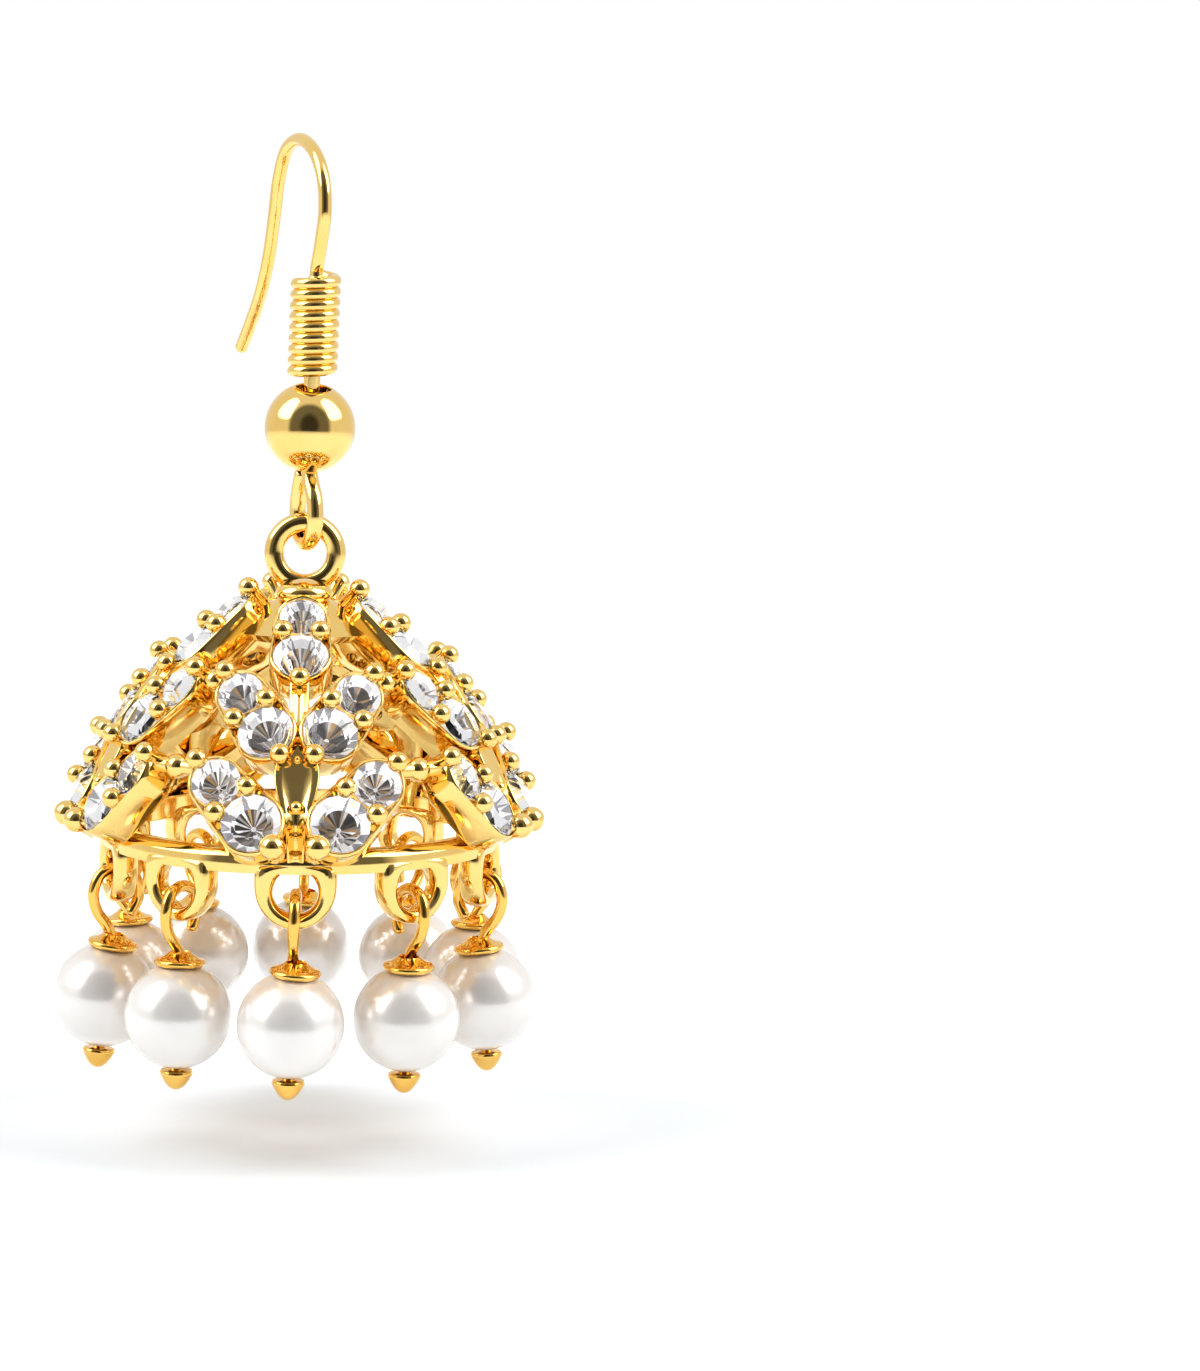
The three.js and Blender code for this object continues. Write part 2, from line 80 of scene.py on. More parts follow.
# Petals of the bell and what is set in them
PETAL_LIP = 0.22
PETAL_TIP = 0.1
TIP_POWER = 14
PETAL_DEPTH = 2
PETAL_FLOOR = 0.34
LARGE_STONE = 3.35
SMALL_STONE = 2.75
STONE_GAP = 0.05
STONE_TABLE = 0.6
STONE_CROWN = 0.44
STONE_PAVILION = 0.4
STONE_SPLIT = 0.58
STONE_STAR = 0.79
STONE_CULET = 0.09
GIRDLE_HIGH = 0.04
GIRDLE_LOW = -0.03
FOIL_GAP = 0.02
FOIL_THICKNESS = 0.06
# How strongly the foil glows: a painted glow, though it is no lamp
FOIL_PAINTED_GLOW = 0.65
PIT_HOLE = 0.45
PIT_DEPTH = 0.34
PIT_LEDGE = 0.03
PIT_EDGE = 0.12
ROOM_DEPTH = 0.48
ROOM_EDGE = 0.1
ROOM_HEIGHT = 1.5
GRAIN = 1.2
FOOT_GRAIN = 1.48
GRAIN_RISE = 0.32
GRAIN_STEM = 0.72
GRAIN_SPREAD = 0.34
WAIST_STEM = 0.6
SPINE_WIDTH = 1.15
SPINE_DEPTH = 1.5
SPINE_GROOVE = 0.34
SPINE_LIP = 0.12
SPINE_CORNER = 0.22
GRANULE_SINK = 0.6
SHOULDER_REACH = 0.65
TIE = 0.9
TIE_KNOB = 1.4

# Loops cast under the rim
LOOPS = 10
LOOP_WIDTH = 4.6
LOOP_DROP = 3.15
LOOP_HOLE = 2.5
LOOP_BAND = 0.85
LOOP_THICKNESS = 1.4
LOOP_ROUND = 0.72
LOOP_CORNER = 7

# Pearl drops
PEARL = 6
PEARL_BORE = 0.94
PEARL_MOUTH = 0.05
PIN_WIRE = 0.66
EYE_WIDTH = 3.3
EYE_HEIGHT = 4.1
CAP = 2.9
CAP_HEIGHT = 0.5
CAP_BORE = 1.1
CAP_LIP = 0.2
FINIAL = 1.85
FINIAL_HEIGHT = 1.15
FINIAL_BAND = 0.2
FINIAL_ROOT = 0.3
FINIAL_POWER = 2.2
SEAT_GAP = 0.12

# Hook, coil and ball bead
HOOK_WIRE = 0.76
SHANK_WIRE = 0.95
HOOK_REACH = 7.6
HOOK_RISE = 7.19
EYE_LOOP_WIDTH = 2.9
EYE_LOOP_HEIGHT = 4.1
BALL = 5.2
BALL_BORE = 2
BALL_MOUTH = 0.08
BALL_TILT = 8
COIL_WIRE = 0.67
COIL_OUTER = 2.88
COIL_PITCH = 0.7
COIL_TURNS = 9
COIL_SEAT = 0.35
COIL_START = 150
HOOK_TILT = 4.5
HOOK_TURN = -67.7
LINK_GAP = 0.15

# Painted reflections on the facets behind a stone, in place of what a cut stone mirrors: most of the
# outer ones are white, the wedges vary
REFLECTION_SEED = 7
WHITE_REFLECTION_SHARE = 0.74
WHITE_REFLECTION = (0.97, 0.96, 0.97)
GREY_REFLECTION = (0.3, 0.29, 0.3)
WEDGE_REFLECTIONS = [(0.04, 0.04, 0.045), (0.22, 0.19, 0.17), (0.92, 0.9, 0.88), (0.07, 0.05, 0.035),
               (0.42, 0.25, 0.1), (0.08, 0.075, 0.07), (0.5, 0.46, 0.42)]

# The petals of one column: angle from its middle, distance and height as shares of the rim radius
# and the bell height, how far the face looks up and past its azimuth, how far the long axis leans
# outward, shares of a full petal's pitch and stones, and the share of a large grain at its foot
PETALS = [
    dict(turn=0, out=0.468, up=0.84, facing=48, twist=0, swing=0, long=0.95, wide=0.93, foot=0.8),
    dict(turn=15.5, out=0.82, up=0.58, facing=35, twist=1, swing=40, long=0.97, wide=0.94, foot=0.8),
    dict(turn=16.2, out=1.063, up=0.27, facing=28, twist=-9, swing=43, long=1, wide=1, foot=1),
]

# The spine behind a column: shares of the rim radius, the bell height and the spine's width, and
# how far it widens towards its shoulder between the lower petals
SPINE = [
    (0.28, 0.91, 1, 0), (0.58, 0.77, 1, 0), (0.86, 0.53, 1.1, 0),
    (0.98, 0.37, 1.1, 1), (1.07, 0.2, 1.1, 0), (1.03, 0.05, 0.8, 0),
]

# Small granules down the middle of a column: share of the spine's length, and diameter
GRANULES = [(0.44, 0.62), (0.53, 0.42), (0.74, 0.72), (0.86, 0.4), (0.97, 0.46)]

# The hook's wire above the coil, the loop at its foot and the eye of a pin: shares of their sizes
HOOK_CURVE = [
    (0, 0), (0.07, 0.22), (0.125, 0.48), (0.06, 0.73), (-0.14, 0.92), (-0.46, 1), (-0.74, 0.9),
    (-0.885, 0.66), (-0.955, 0.34), (-1.04, 0.02), (-1.19, -0.3), (-1.41, -0.59), (-1.59, -0.8),
]
HANG_ROW = 5
FOOT_CURVE = [
    (-0.31, 0.95), (-0.47, 0.62), (-0.49, 0.36), (-0.34, 0.1), (0, 0), (0.34, 0.1), (0.49, 0.36),
    (0.41, 0.65), (0.13, 0.92), (0, 1.15),
]
EYE_CURVE = [
    (0, -0.1), (0.1, 0.08), (0.38, 0.32), (0.5, 0.6), (0.36, 0.9), (0, 1), (-0.36, 0.9), (-0.5, 0.6),
    (-0.38, 0.32),
]

# How far each drop leans to the side and inward, and how its cap sits, in degrees
DROPS = [
    (-1.5, 0, -3, 2), (-1.5, 0, 2, 3), (0, -3.5, 2, -3), (1, 1, -3, 2), (-1, 2, 2, 3),
    (2, 0, 3, -2), (1, 2, -3, 2), (-2, 1, 3, 2), (0, -6, -3, -2), (-1.5, 0, 2, -3),
]

# The camera, as it stood to the middle of the rim, in the photograph's pixels and in degrees
PHOTO_WIDTH = 1200
PHOTO_HEIGHT = 1371
FOCAL_PIXELS = 3400
RIM_PIXEL = (301.4, 839.9)
CAMERA_DISTANCE = 200
CAMERA_ELEVATION = 9.75
CAMERA_AZIMUTH = 1.5
CAMERA_ROLL = 1.38
SENSOR = 36

# What is nearer or farther from the camera than this isn't drawn
CLIP_START = 10
CLIP_END = 10000

# Sides of the round shapes, and steps along the longer ones
PIT_SIDES = 32
ROOM_SIDES = 24
GRAIN_SIDES = 20
GRANULE_SIDES = 16
TIE_SIDES = 20
CROWN_SIDES = 64
COLLAR_SIDES = 48
RING_SIDES = 72
RIM_SIDES = 160
BALL_STEPS = 48
BALL_SIDES = 72
PEARL_SIDES = 64
CAP_SIDES = 48
FINIAL_SIDES = 40
PIN_SIDES = 16
HOOK_SIDES = 24
COIL_SIDES = 16
COIL_STEPS = 40
FLOOR_SIDES = 96

# The rounded end of a wire: turns of its rings in degrees, and its length as a share of the radius
END_TURNS = (78, 52, 26)
END_REACH = 0.6

# Noise runs mostly between these two values
NOISE_SPAN = (0.3, 0.7)

# Worked out from the sizes above
ring_height = BELL_HEIGHT + RING_OUTER / 2 - RING_SINK
link_height = ring_height + RING_HOLE / 2 - LINK_GAP - SHANK_WIRE / 2
loop_pitch = RIM_RADIUS - LOOP_THICKNESS / 2
loop_hole_height = LOOP_BAND + LOOP_HOLE / 2 - LOOP_DROP
band_top = loop_hole_height - LOOP_HOLE / 2
stone_pitch = (LARGE_STONE + SMALL_STONE) / 2 + STONE_GAP
cap_top = PEARL / 2 + SEAT_GAP + CAP_HEIGHT
eye_top = cap_top + EYE_HEIGHT - PIN_WIRE / 2
ball_height = EYE_LOOP_HEIGHT + BALL / 2
coil_foot = ball_height + BALL / 2 + COIL_SEAT / 3
coil_top = coil_foot + COIL_TURNS * COIL_PITCH
lower_side = PETALS[-1]["out"] * RIM_RADIUS * math.sin(math.radians(PETALS[-1]["turn"]))
shoulder_half = lower_side - LARGE_STONE * SHOULDER_REACH


# Meshes are pairs of vertices and faces, in millimetres

def turn_about(axis, degrees):
    return Matrix.Rotation(math.radians(degrees), 4, axis)


def moved(mesh, matrix):
    vertices, faces = mesh
    m = np.array(matrix)
    return vertices @ m[:3, :3].T + m[:3, 3], faces


def shifted(mesh, x, y, z):
    return mesh[0] + np.array([x, y, z]), mesh[1]


def merged(meshes):
    vertices, faces, start = [], [], 0
    for points, corners in meshes:
        vertices.append(points)
        faces += [[start + i for i in face] for face in corners]
        start += len(points)
    return np.vstack(vertices), faces


def loft(rings, closed=False):
    """Joins rings of equally many points; each ring runs counter-clockwise seen from the end."""
    count = len(rings[0])
    faces = []
    last = len(rings) if closed else len(rings) - 1
    for low in range(last):
        a = low * count
        b = (low + 1) % len(rings) * count
        for i in range(count):
            j = (i + 1) % count
            faces.append([a + i, a + j, b + j, b + i])
    if not closed:
        faces.append(list(range(count))[::-1])
        faces.append(list(range((len(rings) - 1) * count, len(rings) * count)))
    return np.vstack(rings), faces


def lathe(profile, sides, closed=False):
    """Turns (radius, height) points about Z. The profile runs upward on its outside."""
    angles = 2 * math.pi * np.arange(sides) / sides
    vertices, rows = [], []
    for radius, height in profile:
        start = len(vertices)
        if radius < 1e-6:
            vertices.append((0, 0, height))
            rows.append([start] * sides)
        else:
            vertices += [(radius * math.cos(a), radius * math.sin(a), height) for a in angles]
            rows.append(list(range(start, start + sides)))
    pairs = list(zip(rows, rows[1:]))
    if closed:
        pairs.append((rows[-1], rows[0]))
    faces = []
    for low, high in pairs:
        for i in range(sides):
            j = (i + 1) % sides
            face = [low[i], low[j], high[j], high[i]]
            faces.append(list(dict.fromkeys(face)))
    return np.array(vertices, float), [face for face in faces if len(face) > 2]


def arc(centre, radius, start, end, steps):
    """Points (x, y) on an arc, from start to end degrees."""
    angles = np.radians(np.linspace(start, end, steps + 1))
    return [(centre[0] + radius * math.cos(a), centre[1] + radius * math.sin(a)) for a in angles]


def spline(points, steps):
    """A centripetal Catmull-Rom curve through the points, with steps to each stretch."""
    p = np.array(points, float)
    p = np.vstack([2 * p[0] - p[1], p, 2 * p[-1] - p[-2]])
    out = []
    for a, b, c, d in zip(p, p[1:], p[2:], p[3:]):
        ta, tb, tc = (math.sqrt(np.linalg.norm(q - r)) for q, r in ((b, a), (c, b), (d, c)))
        leave = ((b - a) / ta - (c - a) / (ta + tb) + (c - b) / tb) * tb
        arrive = ((c - b) / tb - (d - b) / (tb + tc) + (d - c) / tc) * tb
        for t in np.arange(steps) / steps:
            bend = (2 * t**3 - 3 * t**2 + 1) * b + (t**3 - 2 * t**2 + t) * leave
            out.append(bend + (3 * t**2 - 2 * t**3) * c + (t**3 - t**2) * arrive)
    return np.array(out + [p[-2]])


def plane_points(rows, width, height, lift):
    return [(across * width, 0, lift + up * height) for across, up in rows]


def sweep(path, radius, sides):
    """A wire along the path, its ends rounded off."""
    path = np.array(path, float)
    tangents = np.gradient(path, axis=0)
    tangents /= np.linalg.norm(tangents, axis=1)[:, None]
    turns = np.radians(END_TURNS)
    size = np.cos(turns)
    reach = END_REACH * radius * np.sin(turns)
    head = [path[0] - tangents[0] * step for step in reach]
    tail = [path[-1] + tangents[-1] * step for step in reach[::-1]]
    path = np.vstack([head, path, tail])
    radii = radius * np.concatenate([size, np.ones(len(tangents)), size[::-1]])
    ends = len(turns)
    tangents = np.vstack([[tangents[0]] * ends, tangents, [tangents[-1]] * ends])
    side = np.cross(tangents[0], (0, 1, 0))
    if np.linalg.norm(side) < 1e-3:
        side = np.cross(tangents[0], (1, 0, 0))
    rings = []
    angles = 2 * math.pi * np.arange(sides) / sides
    for point, tangent, reach_out in zip(path, tangents, radii):
        side = side - tangent * (side @ tangent)
        side /= np.linalg.norm(side)
        other = np.cross(tangent, side)
        circle = np.outer(np.cos(angles), side) + np.outer(np.sin(angles), other)
        rings.append(point + reach_out * circle)
    return loft(rings)


def ball_profile(radius, steps, squash=1):
    """The (radius, height) points of a ball, from its foot to its top, its height squashed."""
    return [(radius * math.cos(a), squash * radius * math.sin(a))
            for a in np.radians(np.linspace(-90, 90, steps + 1))]


# Bell frame to row frame

def hang_point():
    """The underside of the ear wire's arch, where the earring hangs."""
    across, up = HOOK_CURVE[HANG_ROW]
    point = Vector((across * HOOK_REACH, 0, coil_top + up * HOOK_RISE - HOOK_WIRE / 2))
    point = turn_about("Z", HOOK_TURN) @ turn_about("Y", HOOK_TILT) @ point
    return point + Vector((0, 0, link_height))


to_row = Matrix.Translation(-hang_point())


def as_object(name, mesh, material, body, stands_for, smooth_below=40, tones=None):
    """A piece of the scene. Edges under smooth_below degrees are shaded smooth, tones are per face and
    paint reflections.
    """
    vertices, faces = moved(mesh, to_row)
    data = bpy.data.meshes.new(name)
    data.from_pydata((vertices * MM).tolist(), [], faces)
    data.validate()
    if tones:
        corners = [value for face, tone in zip(faces, tones) for value in (*tone, 1) * len(face)]
        facet_reflection_tone = data.attributes.new("facet_reflection_tone", "FLOAT_COLOR", "CORNER")
        facet_reflection_tone.data.foreach_set("color", corners)
    data.polygons.foreach_set("use_smooth", [smooth_below > 0] * len(data.polygons))
    if smooth_below:
        data.set_sharp_from_angle(angle=math.radians(smooth_below))
    data.materials.append(material)
    obj = bpy.data.objects.new(name, data)
    bpy.context.scene.collection.objects.link(obj)
    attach(obj, body)
    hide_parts(*stands_for)


# Materials

def new_material(name):
    material = bpy.data.materials.new(name)
    material.use_nodes = True
    tree = material.node_tree
    shader = tree.nodes["Principled BSDF"]
    place = tree.nodes.new("ShaderNodeTexCoord")
    return material, tree, shader, place.outputs["Object"]


def noise(tree, place, size, detail=3.0):
    """Noise with features of this size in millimetres."""
    node = tree.nodes.new("ShaderNodeTexNoise")
    node.inputs["Scale"].default_value = 1 / (size * MM)
    node.inputs["Detail"].default_value = detail
    tree.links.new(place, node.inputs["Vector"])
    return node.outputs["Fac"]


def ranged(tree, value, low, high, span=NOISE_SPAN):
    """A number that goes from low to high as the value crosses the span."""
    node = tree.nodes.new("ShaderNodeMapRange")
    for name, number in zip(("From Min", "From Max", "To Min", "To Max"), (*span, low, high)):
        node.inputs[name].default_value = number
    tree.links.new(value, node.inputs["Value"])
    return node.outputs["Result"]


def tinted(tree, value, first, second):
    """A colour that goes from the first to the second as the value crosses the span of the noise."""
    node = tree.nodes.new("ShaderNodeValToRGB")
    for stop, position, colour in zip(node.color_ramp.elements, NOISE_SPAN, (first, second)):
        stop.position = position
        stop.color = (*colour, 1)
    tree.links.new(value, node.inputs["Fac"])
    return node.outputs["Color"]


def bumped(tree, value, height, strength, shader):
    node = tree.nodes.new("ShaderNodeBump")
    node.inputs["Distance"].default_value = height * MM
    node.inputs["Strength"].default_value = strength
    tree.links.new(value, node.inputs["Height"])
    tree.links.new(node.outputs["Normal"], shader.inputs["Normal"])


def gold_material(name, light, dark, rough):
    material, tree, shader, place = new_material(name)
    shader.inputs["Metallic"].default_value = 1
    colour = tinted(tree, noise(tree, place, 2.4), dark, light)
    tree.links.new(colour, shader.inputs["Base Color"])
    roughness = ranged(tree, noise(tree, place, 0.7), rough * 0.6, rough * 1.5)
    tree.links.new(roughness, shader.inputs["Roughness"])
    bumped(tree, noise(tree, place, 1.8, 1), 0.01, 0.15, shader)
    return material


def pearl_material():
    material, tree, shader, place = new_material("nacre")
    colour = tinted(tree, noise(tree, place, 3, 2), (0.86, 0.81, 0.76), (0.89, 0.855, 0.825))
    tree.links.new(colour, shader.inputs["Base Color"])
    tree.links.new(ranged(tree, noise(tree, place, 0.8), 0.2, 0.27), shader.inputs["Roughness"])
    shader.inputs["Metallic"].default_value = 0.35
    shader.inputs["Coat Weight"].default_value = 0.6
    shader.inputs["Coat Roughness"].default_value = 0.1
    shader.inputs["Coat IOR"].default_value = 1.6
    shader.inputs["Sheen Weight"].default_value = 0.2
    shader.inputs["Sheen Roughness"].default_value = 0.4
    shader.inputs["Sheen Tint"].default_value = (1, 0.92, 0.82, 1)
    bumped(tree, noise(tree, place, 0.3, 2), 0.002, 0.12, shader)
    return material


def crystal_material():
    material, tree, shader, place = new_material("cut_crystal")
    colour = tinted(tree, noise(tree, place, 3), (0.96, 0.97, 1), (1, 0.99, 0.98))
    tree.links.new(colour, shader.inputs["Base Color"])
    shader.inputs["Transmission Weight"].default_value = 1
    shader.inputs["IOR"].default_value = 1.45
    tree.links.new(ranged(tree, noise(tree, place, 0.6), 0, 0.02), shader.inputs["Roughness"])
    return material


def painted_foil_material():
    material, tree, shader, place = new_material("foil_painted_reflections")
    # Each face's tone is a painted reflection
    facet = tree.nodes.new("ShaderNodeAttribute")
    facet.attribute_name = "facet_reflection_tone"
    mix = tree.nodes.new("ShaderNodeMix")
    mix.data_type = "RGBA"
    mix.blend_type = "MULTIPLY"
    mix.inputs["Factor"].default_value = 1
    colours = [socket for socket in mix.inputs if socket.type == "RGBA"]
    tree.links.new(facet.outputs["Color"], colours[0])
    cloud = tinted(tree, noise(tree, place, 0.8), (0.85, 0.85, 0.86), (1, 1, 0.99))
    tree.links.new(cloud, colours[1])
    reflection_colour = [socket for socket in mix.outputs if socket.type == "RGBA"][0]
    tree.links.new(reflection_colour, shader.inputs["Base Color"])
    # The foil glows in its painted reflection colours: painted light, though it is no lamp
    tree.links.new(reflection_colour, shader.inputs["Emission Color"])
    shader.inputs["Emission Strength"].default_value = FOIL_PAINTED_GLOW
    shader.inputs["Metallic"].default_value = 1
    tree.links.new(ranged(tree, noise(tree, place, 0.5), 0.12, 0.25), shader.inputs["Roughness"])
    return material


gold = gold_material("polished_gold", (0.98, 0.69, 0.24), (0.94, 0.62, 0.18), 0.07)
deep_gold = gold_material("drawn_gold", (0.95, 0.58, 0.14), (0.91, 0.51, 0.1), 0.09)
pearl = pearl_material()
crystal = crystal_material()
foil_with_painted_light = painted_foil_material()


# Bell: petals with their grains and stones

def petal_frame(row, side, column):
    spot = math.radians(360 / COLUMNS * column + row["turn"] * side)
    look = spot + math.radians(row["twist"] * side)
    facing = math.radians(row["facing"])
    normal = Vector((math.sin(look) * math.cos(facing), -math.cos(look) * math.cos(facing),
                     math.sin(facing)))
    right = Vector((math.cos(look), math.sin(look), 0))
    swing = math.radians(row["swing"] * side)
    along = normal.cross(right) * math.cos(swing) + right * math.sin(swing)
    across = along.cross(normal)
    radius = row["out"] * RIM_RADIUS
    place = Matrix((across, along, normal)).transposed().to_4x4()
    place.translation = (radius * math.sin(spot), -radius * math.cos(spot), row["up"] * BELL_HEIGHT)
    return place


def petal_end(row, side):
    """A round end about its stone, at the foot (side -1) or the tip (1): stone, middle, radius, tip."""
    diameter = (LARGE_STONE if side < 0 else SMALL_STONE) * row["wide"]
    middle = side * stone_pitch * row["long"] / 2
    radius = diameter / 2 + PETAL_LIP
    return diameter, middle, radius, middle + side * (radius + PETAL_TIP)


def petal_outline(row, inset):
    """The round ends and the sides between them, drawn to a short point over each, drawn in by inset."""
    points = []
    ends = [petal_end(row, side) for side in (-1, 1)]
    lean = math.degrees(math.asin((ends[0][2] - ends[1][2]) / (ends[1][1] - ends[0][1])))
    for (_, middle, radius, tip), (start, end) in zip(ends, ((-90, lean), (lean, 90))):
        for angle in np.radians(np.linspace(start, end, 13)):
            point = abs(math.sin(angle)) ** TIP_POWER * (abs(tip - middle) - radius)
            reach = radius - inset + point
            points.append((reach * math.cos(angle), middle + reach * math.sin(angle)))
    right = np.array(points)
    left = right[-2:0:-1] * (-1, 1)
    return np.vstack([right, left])


def petal_cup(row):
    """A cup round two stones with a raised thin edge, a rounded foot and a flat floor."""
    edge = PETAL_LIP
    # How far the outline is drawn in, and the height, from the foot up and over the edge
    section = [
        (0.3, -PETAL_DEPTH), (0.1, 0.06 - PETAL_DEPTH), (0, 0.3 - PETAL_DEPTH), (0, -0.3), (0, -0.02),
        (0.04, 0.06), (edge / 2, 0.1), (edge - 0.04, 0.05), (edge, -0.04), (edge + 0.02, -PETAL_FLOOR),
    ]
    rings = []
    for inset, height in section:
        outline = petal_outline(row, inset)
        rings.append(np.column_stack([outline, np.full(len(outline), height)]))
    return loft(rings)


def stone_pit(diameter, along):
    """The seat under a stone, open through the back of the petal."""
    girdle = diameter / 2
    hole = girdle * PIT_HOLE
    seat = girdle - PIT_LEDGE
    below, above = -PETAL_DEPTH - 0.5, 0.6
    profile = [(0, below), (hole, below), (hole, -diameter * PIT_DEPTH),
               (seat, -PIT_EDGE), (seat, above), (0, above)]
    return shifted(lathe(profile, PIT_SIDES), 0, along, 0)


def stone_room(diameter, along):
    """The room that a stone and its foil take up, for cutting what lies behind a petal."""
    girdle = diameter / 2
    profile = [(0, -diameter * ROOM_DEPTH), (girdle, -ROOM_EDGE), (girdle, ROOM_HEIGHT),
               (0, ROOM_HEIGHT)]
    return shifted(lathe(profile, ROOM_SIDES), 0, along, 0)


def top_rooms():
    """The rooms of the stones in the top petals, two to a column, from the front one round."""
    row = PETALS[0]
    for _, place in petal_places(row):
        for side in (-1, 1):
            yield moved(stone_room(*petal_end(row, side)[:2]), place)


def cut_away(mesh, tools):
    """The mesh without what its tools take away."""
    def plain(name, source):
        data = bpy.data.meshes.new(name)
        data.from_pydata(source[0].tolist(), [], source[1])
        obj = bpy.data.objects.new(name, data)
        bpy.context.scene.collection.objects.link(obj)
        return obj

    target = plain("cut_target", mesh)
    made = [target]
    for tool in tools:
        made.append(plain("cut_tool", tool))
        cut = target.modifiers.new("cut", "BOOLEAN")
        cut.operation = "DIFFERENCE"
        cut.solver = "MANIFOLD"
        cut.object = made[-1]
    result = target.evaluated_get(bpy.context.evaluated_depsgraph_get()).to_mesh()
    vertices = np.array([v.co for v in result.vertices], float)
    faces = [list(p.vertices) for p in result.polygons]
    for obj in made:
        data = obj.data
        bpy.data.objects.remove(obj)
        bpy.data.meshes.remove(data)
    return vertices, faces


def grain(diameter, foot, across, along):
    """A round grain on its stem."""
    radius = diameter / 2
    stem = radius * GRAIN_STEM
    profile = [(0, foot), (stem, foot), (stem, GRAIN_RISE - stem)]
    profile += arc((0, GRAIN_RISE), radius, -38, 90, 9)[1:-1]
    profile += [(0, GRAIN_RISE + radius)]
    return shifted(lathe(profile, GRAIN_SIDES), across, along, 0)


def points_round(radius, height, shift=0, count=8):
    """Points evenly spaced on a level circle, the first one turned by the shift."""
    turn = 2 * math.pi / count
    return [(radius * math.cos(turn * i + shift), radius * math.sin(turn * i + shift), height)
            for i in range(count)]


def stone(diameter, along):
    """The clear crown of a round cut: table, eight stars, eight kites, sixteen halves and girdle."""
    girdle = diameter / 2
    rise = STONE_CROWN - GIRDLE_HIGH
    eighth = math.pi / 4
    tables = points_round(girdle * STONE_TABLE, STONE_CROWN)
    stars = points_round(girdle * STONE_STAR, GIRDLE_HIGH + rise / 2, eighth / 2)
    tops = points_round(girdle, GIRDLE_HIGH, 0, 16)
    lows = points_round(girdle, GIRDLE_LOW, 0, 16)
    points = np.array(tables + stars + tops + lows)
    # Where the points of the table, the stars and the upper and lower girdle start
    t, s, g, b = 0, 8, 16, 32
    faces = [list(range(8)), [b + i for i in range(16)][::-1]]
    for i in range(8):
        j = (i + 1) % 8
        g0, g1, g2 = g + 2 * i, g + 2 * i + 1, g + (2 * i + 2) % 16
        b0, b1, b2 = b + 2 * i, b + 2 * i + 1, b + (2 * i + 2) % 16
        faces.append([t + i, s + i, t + j])
        faces.append([t + i, s + (i - 1) % 8, g0, s + i])
        faces += [[s + i, g0, g1], [s + i, g1, g2]]
        faces += [[g0, b0, b1, g1], [g1, b1, b2, g2]]
    return shifted((points, faces), 0, along, 0)


def foil(diameter, along):
    """The cup behind a stone, facetted like its pavilion, with painted reflections on its faces and a
    painted glow: 48 outer facets, 32 wedges, culet.
    """
    girdle = diameter / 2 - FOIL_GAP
    depth = diameter * STONE_PAVILION
    top = GIRDLE_LOW - FOIL_GAP
    # 16 points round the girdle, 32 round the split and 32 round the culet, in front and behind
    points = []
    for drop in (0, FOIL_THICKNESS):
        points += points_round(girdle, top - drop, 0, 16)
        for share in (STONE_SPLIT, STONE_CULET):
            points += points_round(girdle * share, top - depth * (1 - share) - drop, 0, 32)
    half = len(points) // 2
    faces = []
    for i in range(16):
        j = (i + 1) % 16
        a, b, c = (16 + (2 * i + k) % 32 for k in range(3))
        faces += [[i, j, b], [i, b, a], [j, c, b]]
    for i in range(32):
        j = (i + 1) % 32
        faces.append([16 + i, 16 + j, 48 + j, 48 + i])
    faces.append([48 + i for i in range(32)])
    faces += [[half + i for i in face[::-1]] for face in faces]
    for i in range(16):
        j = (i + 1) % 16
        faces.append([j, i, half + i, half + j])
    return shifted((np.array(points), faces), 0, along, 0)


def foil_reflection_tones(chance):
    """A painted reflection tone for each face of a foil, in the order of its faces."""
    outer = [WHITE_REFLECTION if chance.random() < WHITE_REFLECTION_SHARE else GREY_REFLECTION for _ in range(48)]
    wedges = [WEDGE_REFLECTIONS[(2 * i + chance.integers(3)) % len(WEDGE_REFLECTIONS)] for i in range(32)]
    seen = outer + wedges + [WHITE_REFLECTION]
    return seen + seen + [WHITE_REFLECTION] * 16


def petal_places(row):
    """The column and the frame of each petal in a row, all round the bell."""
    for column in range(COLUMNS):
        for side in [1] if row["turn"] == 0 else [-1, 1]:
            yield column, petal_frame(row, side, column)


def petals_and_stones():
    """All the petals with their grains, their stones, and the foils behind these, which carry painted
    reflections.
    """
    metal, stones, foils = [], [], []
    for row in PETALS:
        foot, head = (petal_end(row, side) for side in (-1, 1))
        spread = LARGE_STONE * row["wide"] * GRAIN_SPREAD
        waist = (foot[0] - head[0]) / 4
        cup = cut_away(petal_cup(row), [stone_pit(*end[:2]) for end in (foot, head)])
        parts = [
            cup,
            grain(FOOT_GRAIN * row["foot"], -PETAL_DEPTH / 2, 0, foot[3]),
            grain(GRAIN, -WAIST_STEM, spread, waist),
            grain(GRAIN, -WAIST_STEM, -spread, waist),
        ]
        top_grain = grain(GRAIN, -PETAL_DEPTH / 2, 0, head[3])
        for column, place in petal_places(row):
            metal += [moved(part, place) for part in parts]
            if row["turn"] or column:
                metal.append(moved(top_grain, place))
            stones += [moved(stone(*end[:2]), place) for end in (foot, head)]
            foils += [moved(foil(*end[:2]), place) for end in (foot, head)]
    return metal, stones, foils


# Bell: spines, ties, crown, collar, ring, rim and loops

def grooved_bar(half_width):
    """The section of a bar with rounded corners and a soft groove down its outer side."""
    lip, corner, steps = SPINE_LIP, SPINE_CORNER, 3
    points = arc((half_width - lip, -lip), lip, 0, 90, steps)
    for share in (0.7, 0.35, 0, -0.35, -0.7):
        points.append((share * (half_width - lip), SPINE_GROOVE * (share**2 * 1.3 - 1)))
    points += arc((-half_width + lip, -lip), lip, 90, 180, steps)
    points += arc((-half_width + corner, corner - SPINE_DEPTH), corner, 180, 270, steps)
    points += arc((half_width - corner, corner - SPINE_DEPTH), corner, 270, 360, steps)
    return points


